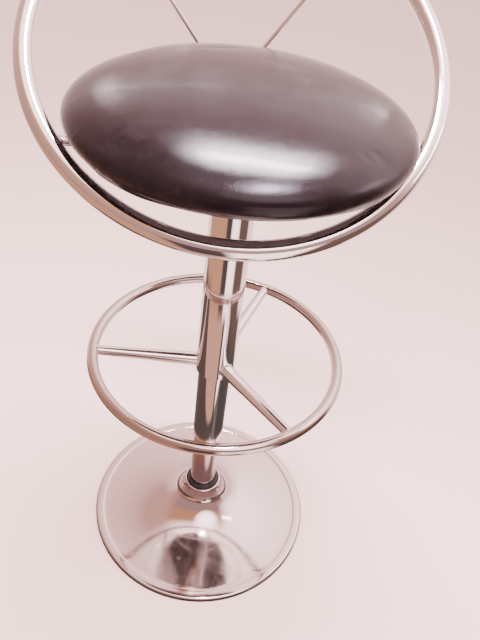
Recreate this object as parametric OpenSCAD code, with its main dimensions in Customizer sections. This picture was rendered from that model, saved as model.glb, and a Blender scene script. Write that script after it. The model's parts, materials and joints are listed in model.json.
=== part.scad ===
// Height-adjustable bar stool: round padded seat, tilted arm hoop, telescopic column
// on a gas lift, welded ring footrest and a trumpet-shaped base.
// Millimetres, +Z up. Origin: on the floor, on the column's axis. The back is +Y.
// Everything is drawn at the stool's highest setting.

/* [Overall] */
// Height of the middle of the cushion above the floor
seat_height = 840; // [780:5:1020]
// How far the gas lift lowers the seat
height_travel = 200; // [160:5:240]

/* [Base] */
// Radius of the base at its rim
base_r = 199; // [160:1:240]
// Height of the rim's flat band above the floor
rim_z = 9; // [8.5:0.5:14]
// Width of the rim's flat band
band_w = 15; // [8:1:24]
// Outer radius of the neck where the trumpet ends
neck_r = 31; // [30:0.5:34]
// Height of the rolled lip on the neck
neck_z = 85; // [70:1:90]
// Thickness of the chromed steel sheet
sheet_t = 1.5; // [1:0.1:2]
// Thickness of the pad that stands on the floor
pad_t = 2; // [1.5:0.5:4]
// Thickness of the ballast plate
ballast_t = 4; // [3:0.5:4.5]

/* [Column] */
// Outer radius of the fixed stand tube
stand_r = 23; // [20:0.5:23.5]
// Outer radius of the floating middle sleeve
mid_r = 25.4; // [25:0.1:27]
// Outer radius of the upper sleeve, which carries the footrest
sleeve_r = 30; // [29.5:0.5:34]
// Wall of the stand tube and of the upper sleeve
tube_wall = 1.5; // [1:0.1:2]
// Wall of the middle sleeve
mid_wall = 1.2; // [0.8:0.1:1.5]
// Length of middle sleeve that shows below the upper sleeve
mid_show = 160; // [130:5:165]
// Radius of the gas cylinder
cylinder_r = 14; // [12.5:0.5:15]
// Radius of the piston rod
rod_r = 5; // [4.5:0.1:5.5]

/* [Footrest] */
// Height of the footrest ring's centreline
footrest_z = 411; // [380:1:500]
// Radius of the footrest ring's centreline
footrest_r = 189; // [150:1:230]
// Radius of the footrest ring's tube
footrest_tube_r = 8.5; // [7:0.5:12]
// Wall of the footrest ring's tube
footrest_wall = 1.5; // [1:0.1:2]
// Radius of a spoke where it meets the column
spoke_root_r = 10.8; // [9:0.1:12]
// Radius of a spoke where it meets the ring
spoke_tip_r = 7; // [5:0.1:8]
// How much lower a spoke is at the column than at the ring
spoke_rise = 15; // [0:1:25]
// Distance from the footrest's centreline down to the end of the upper sleeve
sleeve_below = 33; // [32:1:45]

/* [Seat] */
// Radius of the cushion at its widest
seat_r = 209; // [170:1:255]
// Thickness of the cushion in the middle
cushion_t = 70; // [55:1:90]
// Height of the widest line above the cushion's underside
belly_h = 22; // [18:1:28]
// How far the cushion's lower edge is set in from its widest line
edge_inset = 30; // [20:1:34]
// Thickness of the vinyl cover
cover_t = 1.2; // [0.8:0.1:1.8]
// Thickness of the plywood seat board
board_t = 12; // [9:1:15]
// Width of the steel seat plate, across the stool
plate_w = 180; // [160:5:200]
// Depth of the steel seat plate, front to back
plate_d = 150; // [130:5:170]

/* [Arm hoop] */
// Radial distance from the cushion's widest line to the hoop's centreline
hoop_gap = 52; // [45:1:65]
// Radius of the hoop's tube
hoop_tube_r = 12.5; // [10:0.5:14]
// Wall of the hoop's tube
hoop_wall = 1.5; // [1:0.1:2]
// Tilt of the hoop, back up
hoop_tilt = 33.4; // [28:0.2:38]
// How far the hoop's centre is behind the column
hoop_back = 91.8; // [80:0.2:100]
// Height of the hoop's centre above the cushion's underside
hoop_rise = 64.6; // [55:0.2:75]
// Radius of the bars that hold the hoop at its sides
side_bar_r = 6; // [5:0.5:8]
// Radius of the two straight rods at the back
back_rod_r = 3; // [2.5:0.25:4]
// Turn round the hoop from its highest point to a back rod's end
back_rod_turn = 38.6; // [30:0.2:45]

/* [Lever] */
// Direction of the lever under the seat, from +X towards the back
lever_turn = 20; // [15:1:35]
// Slope of the lever, outer end down
lever_drop = 8; // [7:0.5:10]
// Radius of the lever's rod
lever_r = 4; // [3:0.5:4.5]
// Distance from the column's axis to the lever's pivot
lever_pivot_x = 26; // [25:0.5:30]
// Distance from the column's axis to the end of the lever's grip
lever_reach = 182; // [150:1:185]

/* [Hidden] */

$fn = 96;
run = 0.05;                 // radial clearance of a running fit
slip = 0.3;                 // clearance between pieces that only lie near each other

// Base
rim_edge = 4;               // rounding of the rim's outer edge
step_down = 0.9;            // height of the step inside the flat band
lip_bead = 2.2;             // radius of the rolled lip
ballast_top = pad_t + ballast_t;
socket_r = stand_r + 4;
socket_top = neck_z - 5;
bush_r = neck_r - lip_bead - 0.2;
bush_top = neck_z + 8;

// Bearing at the foot of the piston rod
stand_bottom = pad_t + 4;
foot_plate_t = 3;
spigot_r = rod_r - 0.8;
washer_t = 1.2;
washer_r = 10;
ball_r = 1.5;
ball_count = 10;
bearing_z = stand_bottom + foot_plate_t;
balls_z = bearing_z + washer_t + ball_r;
upper_washer_z = balls_z + ball_r + run;
flange_z = upper_washer_z + washer_t;
flange_t = 2;
bumper_l = 20;
bumper_top = flange_z + flange_t + bumper_l;

// Gas lift
cylinder_wall = 1.6;
cylinder_in = cylinder_r - cylinder_wall;
cylinder_z = bumper_top + 3.5 + height_travel;
crimp_t = 3;
gland_l = 15;
piston_z = cylinder_z + crimp_t + gland_l + 4;
piston_l = 12;
rod_top = piston_z + piston_l + 2;
guide_l = 50;
stand_top = cylinder_z + guide_l;
stand_in = stand_r - tube_wall;

// Column sleeves
sleeve_z = footrest_z - sleeve_below;
sleeve_in = sleeve_r - tube_wall;
glide_l = 21;
glide_inset = 1;
mid_z = sleeve_z - mid_show;
mid_in = mid_r - mid_wall;
lip_t = 2;
mid_top = sleeve_z + glide_inset + glide_l + slip + lip_t;

// Seat heights
seat_z = seat_height - cushion_t;
cloth_t = 2;
plate_t = 4;
plate_z = seat_z - plate_t;
hub_r = cylinder_r + 4;
taper_l = 30;
taper_z = plate_z - 54;
taper_top_r = cylinder_r - 0.8;
cylinder_top = taper_z + taper_l;
cap_t = 4;
sleeve_top = taper_z - 4;
board_z = seat_z + cloth_t;
board_r = seat_r - 21;
fold_r = board_r - 22;
dome_power = 2.2;           // roundness of the cushion's dome
dome_steps = 18;
side_steps = 4;
bolt_x = plate_w / 2 - 15;
bolt_y = plate_d / 2 - 15;
bolt_r = 4;

// Arm hoop
hoop_r = seat_r + hoop_gap;
hoop_c = [0, hoop_back, seat_z + hoop_rise];
bar_z = plate_z - side_bar_r;
bar_sin = (bar_z - hoop_c.z) / (hoop_r * sin(hoop_tilt));
bar_y = hoop_c.y + hoop_r * cos(hoop_tilt) * bar_sin;
strap_w = 22;
strap_t = 4;
strap_y = 45;
tab_w = 26;
tab_y = seat_r - 9;
tab_d = 16;
tab_z = seat_z - 24;
rod_foot = [5, seat_r - 4, seat_z - 19];

// Lever
pin_r = 2.5;
boss_r = 6;
boss_w = 10;
ear_t = 3;
ear_gap = boss_w + 0.6;
lever_z = plate_z - 12;
tip_x = 3;
release_r = 3;
release_top = lever_z + (lever_pivot_x - tip_x) * sin(lever_drop) - lever_r - slip;
grip_l = 60;
grip_r = 6.5;

function hoop_point(turn) =
    hoop_c + hoop_r * [sin(turn), cos(hoop_tilt) * cos(turn), sin(hoop_tilt) * cos(turn)];
function bezier(a, b, c, d, t) =
    pow(1 - t, 3) * a + 3 * t * pow(1 - t, 2) * b + 3 * t * t * (1 - t) * c + pow(t, 3) * d;
function unit(v) = v / norm(v);
function left_of(v) = [-v.y, v.x];
// A path's points moved to its left by a wall's thickness
function wall_path(path, wall) = [
    for (i = [0:len(path) - 1])
        let (back = path[max(i - 1, 0)], ahead = path[min(i + 1, len(path) - 1)])
        path[i] + wall * left_of(unit(ahead - back))];
function reversed(path) = [for (i = [len(path) - 1:-1:0]) path[i]];

module ring(r_out, r_in, z, h) {
    translate([0, 0, z])
        difference() {
            cylinder(r = r_out, h = h);
            translate([0, 0, -1]) cylinder(r = r_in, h = h + 2);
        }
}

module rod_between(a, b, r_a, r_b) {
    v = b - a;
    translate(a)
        rotate([0, acos(v.z / norm(v)), atan2(v.y, v.x)])
            cylinder(r1 = r_a, r2 = r_b, h = norm(v));
}

module torus(r_ring, r_tube) {
    rotate_extrude() translate([r_ring, 0]) circle(r = r_tube, $fn = 48);
}

module hoop_shape(r_tube) {
    translate(hoop_c) rotate([hoop_tilt, 0, 0]) torus(hoop_r, r_tube);
}

module footrest_shape(r_tube) {
    translate([0, 0, footrest_z]) torus(footrest_r, r_tube);
}

module rounded_plate(w, d, r, t) {
    linear_extrude(t) {
        square([w - 2 * r, d], center = true);
        square([w, d - 2 * r], center = true);
        for (x = [-1, 1], y = [-1, 1])
            translate([x * (w / 2 - r), y * (d / 2 - r)]) circle(r = r);
    }
}

module at_bolts() {
    for (x = [-1, 1], y = [-1, 1]) translate([x * bolt_x, y * bolt_y, 0]) children();
}

// Draws its children in the lever's frame: +X out along the lever, origin on the pivot
module at_lever() {
    rotate([0, 0, lever_turn])
        translate([lever_pivot_x, 0, lever_z])
            rotate([0, lever_drop, 0]) children();
}

// ---- Base ----

module base_cover() {
    arc_steps = 6;
    flare_steps = 24;
    rim = [
        [base_r, pad_t],
        for (i = [0:arc_steps])
            let (a = 90 * i / arc_steps)
            [base_r - rim_edge + rim_edge * cos(a), rim_z - rim_edge + rim_edge * sin(a)],
        [base_r - band_w, rim_z]];
    flare_start = [base_r - band_w - 1, rim_z - step_down];
    neck = [neck_r, neck_z];
    flare = [
        for (i = [0:flare_steps])
            bezier(flare_start, [base_r * 0.25, rim_z + 4], [neck_r + 0.5, neck_z * 0.61], neck,
                i / flare_steps)];
    outer = concat(rim, flare);
    color("gainsboro")
        rotate_extrude($fn = 128) {
            polygon(concat(outer, reversed(wall_path(outer, sheet_t))));
            translate([neck_r, neck_z]) circle(r = lip_bead, $fn = 32);
        }
}

module base_ballast() {
    color("dimgray") ring(base_r - 13, socket_r, pad_t, ballast_t);
}

module base_socket() {
    color("gray") {
        ring(socket_r, stand_r + run, pad_t, socket_top - pad_t);
        ring(stand_r + 1, washer_r + 2, pad_t, stand_bottom - pad_t);
    }
}

module floor_pad() {
    color([0.09, 0.09, 0.09]) {
        cylinder(r = base_r, h = pad_t);
        ring(base_r - sheet_t - slip, base_r - 13 + slip, pad_t, ballast_t - 1);
    }
}

module collar_bush() {
    step_z = neck_z + 4;
    color([0.07, 0.07, 0.07]) {
        ring(bush_r, stand_r + run, socket_top, step_z - socket_top);
        ring(bush_r - 2, stand_r + run, step_z, bush_top - step_z);
    }
}

module stand_tube() {
    color("gainsboro") {
        ring(stand_r, stand_in, stand_bottom, stand_top - stand_bottom);
        ring(stand_r - 0.5, spigot_r + run, stand_bottom, foot_plate_t);
    }
}

module guide_bush() {
    color([0.1, 0.1, 0.1]) {
        ring(stand_in - run, cylinder_r + run, cylinder_z - 4, stand_top + 4 - cylinder_z);
        ring(stand_r - 0.2, cylinder_r + run, stand_top, 2);
    }
}

// ---- Bearing and piston rod ----

module thrust_washer_lower() {
    color("silver") ring(washer_r, spigot_r + run, bearing_z, washer_t);
}

module thrust_balls() {
    color("silver")
        for (i = [0:ball_count - 1])
            rotate([0, 0, 360 * i / ball_count])
                translate([(washer_r + spigot_r) / 2, 0, balls_z])
                    sphere(r = ball_r, $fn = 24);
}

module thrust_washer_upper() {
    color("silver") ring(washer_r, spigot_r, upper_washer_z, washer_t);
}

module rod_clip() {
    color("dimgray") ring(spigot_r + 2.5, spigot_r - 0.6, stand_bottom - 1.4, 1.2);
}

module piston_rod() {
    color("silver")
        difference() {
            union() {
                translate([0, 0, stand_bottom - 2.5])
                    cylinder(r = spigot_r, h = flange_z - stand_bottom + 2.5);
                translate([0, 0, flange_z]) cylinder(r = rod_r + 4, h = flange_t);
                translate([0, 0, flange_z]) cylinder(r = rod_r, h = rod_top - flange_z);
            }
            ring(spigot_r + 1, spigot_r - 0.6, stand_bottom - 1.4, 1.2);
        }
}

module piston() {
    color("darkgray") ring(cylinder_in - run, rod_r, piston_z, piston_l);
}

module rod_bumper() {
    color([0.08, 0.08, 0.08]) ring(rod_r + 6, rod_r, flange_z + flange_t, bumper_l);
}

// ---- Column ----

module mid_sleeve() {
    color("gainsboro") {
        ring(mid_r, mid_in, mid_z, mid_top - mid_z);
        ring(sleeve_in - 0.4, mid_in, mid_top - lip_t, lip_t);
    }
}

module mid_glide() {
    color([0.1, 0.1, 0.1]) ring(mid_in, stand_r + run, mid_z + glide_inset, glide_l);
}

module upper_sleeve() {
    color("gainsboro") ring(sleeve_r, sleeve_in, sleeve_z, sleeve_top - sleeve_z);
}

module sleeve_glide() {
    color([0.1, 0.1, 0.1]) ring(sleeve_in, mid_r + run, sleeve_z + glide_inset, glide_l);
}

module sleeve_cap() {
    color("silver") ring(sleeve_in, cylinder_r, sleeve_top - cap_t, cap_t);
}

module cylinder_outside() {
    translate([0, 0, cylinder_z]) cylinder(r = cylinder_r, h = taper_z - cylinder_z);
    translate([0, 0, taper_z]) cylinder(r1 = cylinder_r, r2 = taper_top_r, h = taper_l);
}

module gas_cylinder() {
    head_l = 20;
    color([0.15, 0.15, 0.16])
        difference() {
            cylinder_outside();
            translate([0, 0, cylinder_z + crimp_t])
                cylinder(r = cylinder_in, h = cylinder_top - head_l - cylinder_z - crimp_t);
            translate([0, 0, cylinder_z - 1]) cylinder(r = rod_r + 3, h = crimp_t + 2);
            translate([0, 0, cylinder_top - head_l - 1])
                cylinder(r = release_r + run, h = head_l + 2);
        }
}

module cylinder_gland() {
    color("darkgray") ring(cylinder_in, rod_r + run, cylinder_z + crimp_t, gland_l);
}

// ---- Footrest ----

module footrest_ring() {
    color("gainsboro")
        difference() {
            footrest_shape(footrest_tube_r);
            footrest_shape(footrest_tube_r - footrest_wall);
        }
}

module spoke(turn) {
    root = [sleeve_r - 2, 0, footrest_z - spoke_rise];
    tip = [footrest_r, 0, footrest_z];
    color("gainsboro")
        difference() {
            rotate([0, 0, turn]) rod_between(root, tip, spoke_root_r, spoke_tip_r);
            translate([0, 0, sleeve_z]) cylinder(r = sleeve_r, h = 2 * sleeve_below);
            footrest_shape(footrest_tube_r);
        }
}

module footrest_spoke_left() { spoke(180); }
module footrest_spoke_rear() { spoke(60); }
module footrest_spoke_front() { spoke(-60); }

// ---- Seat ----

module seat_plate() {
    pivot_ear = [14, ear_t, 18];
    color("dimgray")
        difference() {
            union() {
                translate([0, 0, plate_z]) rounded_plate(plate_w, plate_d, 12, plate_t);
                translate([0, 0, taper_z]) cylinder(r = hub_r, h = plate_z - taper_z);
                rotate([0, 0, lever_turn])
                    for (side = [-1, 1])
                        translate([
                            lever_pivot_x - pivot_ear.x / 2,
                            side * (ear_gap + ear_t) / 2 - ear_t / 2,
                            plate_z - pivot_ear.z])
                            cube(pivot_ear);
            }
            translate([0, 0, taper_z])
                cylinder(r1 = cylinder_r, r2 = taper_top_r, h = taper_l);
            translate([0, 0, cylinder_top - 0.01])
                cylinder(r = taper_top_r, h = plate_z - cylinder_top);
            rotate([0, 0, lever_turn])
                translate([0, -lever_r - 1.5, lever_z - 8])
                    cube([hub_r + 0.4, 2 * lever_r + 3, 19]);
            rotate([0, 0, lever_turn])
                translate([lever_pivot_x, 0, lever_z])
                    rotate([90, 0, 0]) cylinder(r = pin_r, h = 40, center = true);
            at_bolts() translate([0, 0, plate_z - 1]) cylinder(r = bolt_r + 0.25, h = plate_t + 2);
        }
}

module seat_bolts() {
    head_r = 7;
    head_t = 5.5;
    color("silver")
        at_bolts() {
            translate([0, 0, plate_z - head_t]) cylinder(r = head_r, h = head_t, $fn = 6);
            translate([0, 0, plate_z - 0.5]) cylinder(r = bolt_r, h = seat_z + board_t - plate_z);
        }
}

module seat_board() {
    color("burlywood")
        difference() {
            translate([0, 0, board_z]) cylinder(r = board_r, h = board_t);
            at_bolts() translate([0, 0, board_z - 1]) cylinder(r = bolt_r + run, h = board_t + 2);
        }
}

module dust_cover() {
    color([0.12, 0.12, 0.12])
        difference() {
            translate([0, 0, seat_z]) cylinder(r = fold_r - slip, h = cloth_t);
            at_bolts() translate([0, 0, seat_z - 1]) cylinder(r = bolt_r + 0.5, h = cloth_t + 2);
        }
}

// Half outline of the cushion, from its lower edge over the belly to the middle of the top
function cushion_outline() =
    let (belly_z = seat_z + belly_h)
    concat(
        [for (i = [0:side_steps - 1])
            let (a = 90 * i / side_steps)
            [seat_r - edge_inset + edge_inset * sin(a), seat_z + belly_h * (1 - cos(a))]],
        [for (i = [0:dome_steps])
            let (a = 90 * i / dome_steps)
            [i == dome_steps ? 0 : seat_r * pow(cos(a), 2 / dome_power),
             belly_z + (seat_height - belly_z) * pow(sin(a), 2 / dome_power)]]);
// The part of that outline above the board's underside, moved in by a depth
function cushion_inside(depth) = [
    for (p = wall_path(cushion_outline(), depth)) if (p.y > board_z) [max(p.x, 0), p.y]];

module seat_foam() {
    foam = cushion_inside(cover_t + slip);
    seat = [
        [0, board_z + board_t],
        [board_r + slip, board_z + board_t],
        [board_r + slip, board_z],
        [foam[0].x, board_z]];
    color("khaki") rotate_extrude() polygon(concat(foam, seat));
}

module seat_cover() {
    inside = cushion_inside(cover_t);
    fold = [[inside[0].x, board_z], [fold_r, board_z], [fold_r, seat_z]];
    color([0.16, 0.15, 0.16])
        rotate_extrude() polygon(concat(cushion_outline(), reversed(inside), fold));
}

// ---- Arm hoop ----

module arm_hoop() {
    color("gainsboro")
        difference() {
            hoop_shape(hoop_tube_r);
            hoop_shape(hoop_tube_r - hoop_wall);
        }
}

module side_bar(side) {
    color("gainsboro")
        difference() {
            rod_between([side * (hub_r + 12), bar_y, bar_z], [side * hoop_r, bar_y, bar_z],
                side_bar_r, side_bar_r);
            hoop_shape(hoop_tube_r);
            translate([0, bar_y, bar_z])
                rotate([0, side * 90, 0])
                    translate([0, 0, hoop_r * sqrt(1 - bar_sin * bar_sin)])
                        cylinder(r = side_bar_r + 1, h = hoop_r);
        }
}

module side_bar_left() { side_bar(-1); }
module side_bar_right() { side_bar(1); }

module back_rod_shape(side) {
    end = hoop_point(side * back_rod_turn);
    rod_between([side * rod_foot.x, rod_foot.y, rod_foot.z], end, back_rod_r, back_rod_r);
}

module back_strap() {
    color("silver")
        difference() {
            union() {
                translate([-strap_w / 2, strap_y, plate_z - strap_t])
                    cube([strap_w, tab_y + tab_d - strap_y, strap_t]);
                translate([-tab_w / 2, tab_y, tab_z])
                    cube([tab_w, tab_d, plate_z - strap_t - tab_z + 0.5]);
            }
            for (side = [-1, 1]) back_rod_shape(side);
        }
}

module back_rod(side) {
    color("gainsboro")
        difference() {
            back_rod_shape(side);
            hoop_shape(hoop_tube_r);
        }
}

module back_rod_left() { back_rod(-1); }
module back_rod_right() { back_rod(1); }

// ---- Lever ----

module lever_pin() {
    color("silver")
        rotate([0, 0, lever_turn])
            translate([lever_pivot_x, 0, lever_z])
                rotate([90, 0, 0]) cylinder(r = pin_r, h = ear_gap + 2 * ear_t, center = true);
}

module lever_rod() {
    rod_end = lever_reach - lever_pivot_x - 12;
    color("gainsboro")
        at_lever()
            difference() {
                union() {
                    translate([tip_x - lever_pivot_x, 0, 0])
                        rotate([0, 90, 0]) cylinder(r = lever_r, h = lever_pivot_x - tip_x + rod_end);
                    rotate([90, 0, 0]) cylinder(r = boss_r, h = boss_w, center = true);
                }
                rotate([90, 0, 0]) cylinder(r = pin_r + run, h = boss_w + 2, center = true);
            }
}

module lever_grip() {
    grip_end = lever_reach - lever_pivot_x;
    nose = 4;
    color([0.08, 0.08, 0.08])
        at_lever()
            translate([grip_end - grip_l, 0, 0])
                rotate([0, 90, 0])
                    difference() {
                        rotate_extrude() {
                            square([grip_r, grip_l - nose]);
                            square([grip_r - nose, grip_l]);
                            translate([grip_r - nose, grip_l - nose])
                                intersection() {
                                    circle(r = nose, $fn = 32);
                                    square(nose);
                                }
                        }
                        translate([0, 0, -1]) cylinder(r = lever_r, h = grip_l - 12 + 1);
                    }
}

module release_pin() {
    color("silver")
        translate([0, 0, cylinder_top - 18]) cylinder(r = release_r, h = release_top - cylinder_top + 18);
}

base_cover();
base_ballast();
base_socket();
floor_pad();
collar_bush();
stand_tube();
guide_bush();
thrust_washer_lower();
thrust_balls();
thrust_washer_upper();
rod_clip();
piston_rod();
piston();
rod_bumper();
mid_sleeve();
mid_glide();
upper_sleeve();
sleeve_glide();
sleeve_cap();
gas_cylinder();
cylinder_gland();
footrest_ring();
footrest_spoke_left();
footrest_spoke_rear();
footrest_spoke_front();
seat_plate();
seat_bolts();
seat_board();
dust_cover();
seat_foam();
seat_cover();
arm_hoop();
side_bar_left();
side_bar_right();
back_strap();
back_rod_left();
back_rod_right();
lever_pin();
lever_rod();
lever_grip();
release_pin();
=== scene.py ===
# %% [markdown]
# # A chrome bar stool
# The stool is a set of round things on one upright axis: a trumpet-shaped base, a telescopic
# column, a ring footrest, a round cushion, and a hoop that is tipped up round the cushion. The
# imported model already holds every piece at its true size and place, so the first cell loads it
# and the rest of the file gives the pieces the shapes and finishes that a person sees.

# %% Load the frame
import json
import math
import random

import bpy
from mathutils import Matrix, Vector


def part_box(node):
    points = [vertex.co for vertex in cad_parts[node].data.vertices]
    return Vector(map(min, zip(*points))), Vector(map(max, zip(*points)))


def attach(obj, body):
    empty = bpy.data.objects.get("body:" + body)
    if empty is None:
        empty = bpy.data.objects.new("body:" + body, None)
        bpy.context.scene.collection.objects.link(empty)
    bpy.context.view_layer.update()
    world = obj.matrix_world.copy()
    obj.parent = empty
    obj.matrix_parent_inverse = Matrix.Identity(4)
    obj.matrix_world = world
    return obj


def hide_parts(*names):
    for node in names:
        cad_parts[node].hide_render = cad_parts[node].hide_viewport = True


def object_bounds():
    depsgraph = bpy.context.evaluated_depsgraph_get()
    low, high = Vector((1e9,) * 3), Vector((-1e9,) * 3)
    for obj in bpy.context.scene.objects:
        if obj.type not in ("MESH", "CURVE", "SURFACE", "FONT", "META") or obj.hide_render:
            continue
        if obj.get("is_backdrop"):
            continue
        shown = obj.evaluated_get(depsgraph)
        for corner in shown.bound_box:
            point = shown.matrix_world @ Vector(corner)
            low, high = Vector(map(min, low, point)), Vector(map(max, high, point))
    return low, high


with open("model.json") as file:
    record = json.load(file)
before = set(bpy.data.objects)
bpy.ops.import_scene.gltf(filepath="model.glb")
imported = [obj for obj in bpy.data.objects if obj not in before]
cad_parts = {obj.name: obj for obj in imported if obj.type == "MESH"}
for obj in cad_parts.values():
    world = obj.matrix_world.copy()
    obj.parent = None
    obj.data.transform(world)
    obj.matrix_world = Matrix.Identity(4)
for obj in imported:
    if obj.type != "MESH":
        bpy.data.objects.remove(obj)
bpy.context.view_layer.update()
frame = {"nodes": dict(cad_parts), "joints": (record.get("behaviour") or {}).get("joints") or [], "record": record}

# %% [markdown]
# ## Measures
# A piece that is remade here takes its size from the node it stands for, read from the node's
# box. What a box can't tell, such as the thickness of a tube, is a named value in metres.

# %% Sizes read from the frame
MM = 0.001


def radius_of(node):
    low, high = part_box(node)
    return (high.x - low.x) / 2


def heights_of(node):
    low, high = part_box(node)
    return low.z, high.z


seat_r = radius_of("seat_cover")
seat_z, seat_top = heights_of("seat_cover")
belly_z = seat_z + 22 * MM
base_r = radius_of("base_cover")
sheet_z, neck_top = heights_of("base_cover")
hoop_tube = 12.5 * MM
hoop_low, hoop_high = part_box("arm_hoop")
hoop_ring = (hoop_high.x - hoop_low.x) / 2 - hoop_tube
hoop_centre = (hoop_low + hoop_high) / 2
hoop_tilt = math.asin(((hoop_high.z - hoop_low.z) / 2 - hoop_tube) / hoop_ring)
rest_tube = 8.5 * MM
rest_ring = radius_of("footrest_ring") - rest_tube
rest_z = sum(heights_of("footrest_ring")) / 2
sleeve_r = radius_of("upper_sleeve")
print("hoop ring", round(hoop_ring, 4), "tilt", round(math.degrees(hoop_tilt), 2))

# %% [markdown]
# ## Camera
# The stool is seen by someone who stands in front of it and looks down at the seat, with the
# camera held a little askew. The view is a place, three angles and a focal length. A rotation
# matrix made of the camera's right, up and back directions says all three angles at once.

# %% Camera
view_place = Vector((-0.0946, -0.7286, 1.1073))
view_turn, view_down, view_roll = (math.radians(a) for a in (9.68, 40.41, 7.92))
ahead = Vector((
    math.sin(view_turn) * math.cos(view_down),
    math.cos(view_turn) * math.cos(view_down),
    -math.sin(view_down)))
level = Vector((math.cos(view_turn), -math.sin(view_turn), 0))
upright = level.cross(ahead)
right = math.cos(view_roll) * level + math.sin(view_roll) * upright
up = right.cross(ahead)

camera = bpy.data.objects.new("camera", bpy.data.cameras.new("camera"))
bpy.context.scene.collection.objects.link(camera)
camera.data.sensor_width = 36
camera.data.lens = 36.47
camera.data.clip_start, camera.data.clip_end = 0.01, 100
facing = Matrix((right, up, -ahead)).transposed().to_4x4()
camera.matrix_world = Matrix.Translation(view_place) @ facing
bpy.context.scene.camera = camera
print("camera looks", [round(v, 3) for v in ahead])

# %% [markdown]
# ## Shader maths
# A finish is easier to read as a sum than as a web of nodes. `Signal` wraps one socket and
# turns +, -, * and / into Math nodes. `Finish` is one material: its `node` method makes every
# other kind of node, and `look` sends the results to the Principled shader. All patterns start
# from Object coordinates, so that they stay on a piece when it moves.

# %% Signal and Finish


class Signal:
    """One output socket, usable in Python sums."""

    def __init__(self, finish, socket):
        self.finish, self.socket = finish, socket

    def __add__(self, other):
        return self.finish.maths("ADD", self, other)

    def __radd__(self, other):
        return self.finish.maths("ADD", other, self)

    def __sub__(self, other):
        return self.finish.maths("SUBTRACT", self, other)

    def __rsub__(self, other):
        return self.finish.maths("SUBTRACT", other, self)

    def __mul__(self, other):
        return self.finish.maths("MULTIPLY", self, other)

    def __rmul__(self, other):
        return self.finish.maths("MULTIPLY", other, self)

    def __truediv__(self, other):
        return self.finish.maths("DIVIDE", self, other)


class Finish:
    """A material on Object coordinates, with a Principled shader."""

    def __init__(self, name):
        self.material = bpy.data.materials.new(name)
        self.material.use_nodes = True
        self.tree = self.material.node_tree
        self.shader = self.tree.nodes["Principled BSDF"]
        self.place = self.node("ShaderNodeTexCoord", output="Object")

    def put(self, socket, value):
        """Feeds a socket with a link, a colour or a number."""
        if isinstance(value, Signal):
            self.tree.links.new(value.socket, socket)
        elif socket.type == "RGBA":
            socket.default_value = (*value, 1)
        else:
            socket.default_value = value

    def node(self, kind, settings=None, inputs=None, output=0):
        """Adds a node: its settings first, then the values or links of its sockets."""
        made = self.tree.nodes.new(kind)
        for key, value in (settings or {}).items():
            if key == "stops":
                self.set_stops(made.color_ramp.elements, value)
            else:
                setattr(made, key, value)
        for key, value in (inputs or {}).items():
            self.put(made.inputs[key], value)
        return Signal(self, made.outputs[output])

    def set_stops(self, elements, stops):
        """Fills a ramp from (place, colour) pairs, where a lone number means a grey."""
        while len(elements) < len(stops):
            elements.new(0.5)
        for element, (at, colour) in zip(elements, stops):
            element.position = at
            element.color = (*colour, 1) if isinstance(colour, tuple) else (colour, colour, colour, 1)

    def maths(self, operation, first, second=0.0):
        return self.node("ShaderNodeMath", {"operation": operation}, {0: first, 1: second})

    def ramp(self, value, *stops):
        return self.node("ShaderNodeValToRGB", {"stops": stops}, {"Fac": value})

    def mix(self, share, first, second):
        return self.node(
            "ShaderNodeMix", {"data_type": "RGBA"}, {0: share, 6: first, 7: second}, output=2)

    def parts(self):
        """The three coordinates of the place that is being coloured."""
        return [
            self.node("ShaderNodeSeparateXYZ", None, {0: self.place}, output=i) for i in range(3)]

    def from_axis(self, x, y):
        """The distance of a place from the upright axis."""
        return self.maths("POWER", x * x + y * y, 0.5)

    def noise(self, scale, detail=2.0, roughness=0.5, distortion=0.0, at=None):
        return self.node("ShaderNodeTexNoise", None, {
            "Vector": at or self.place, "Scale": scale, "Detail": detail,
            "Roughness": roughness, "Distortion": distortion})

    def cells(self, scale):
        return self.node("ShaderNodeTexVoronoi", None, {"Vector": self.place, "Scale": scale})

    def stretched(self, scale, turn=(0, 0, 0)):
        return self.node("ShaderNodeMapping", None, {
            "Vector": self.place, "Scale": scale, "Rotation": turn})

    def bump(self, height, distance, strength=1.0, under=None):
        inputs = {"Height": height, "Distance": distance, "Strength": strength}
        if under:
            inputs["Normal"] = under
        return self.node("ShaderNodeBump", None, inputs)

    def look(self, **sockets):
        for name, value in sockets.items():
            self.put(self.shader.inputs[name.replace("_", " ")], value)
        return self.material


print("shader helpers ready")

# %% [markdown]
# ## Chrome
# Chrome plate is a mirror, so its colour is what stands round it. What tells the eye that it
# is old plate is in the roughness: a haze of wiped-on grime in wide soft patches, fine hairline
# scratches from cleaning, and a few tiny specks where the plate has pitted. An image of worn
# metal would do this too, but noise on Object coordinates needs no unwrapping and never
# repeats. One function makes all the chromes. The welds and the low pieces get the most haze,
# and the footrest and stand tube are duller, because shoes and mops touch them. The stand tube's
# much darker tint is painted shade, for the shaded base flare that it mirrors.

# %% Chrome finishes


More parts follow.
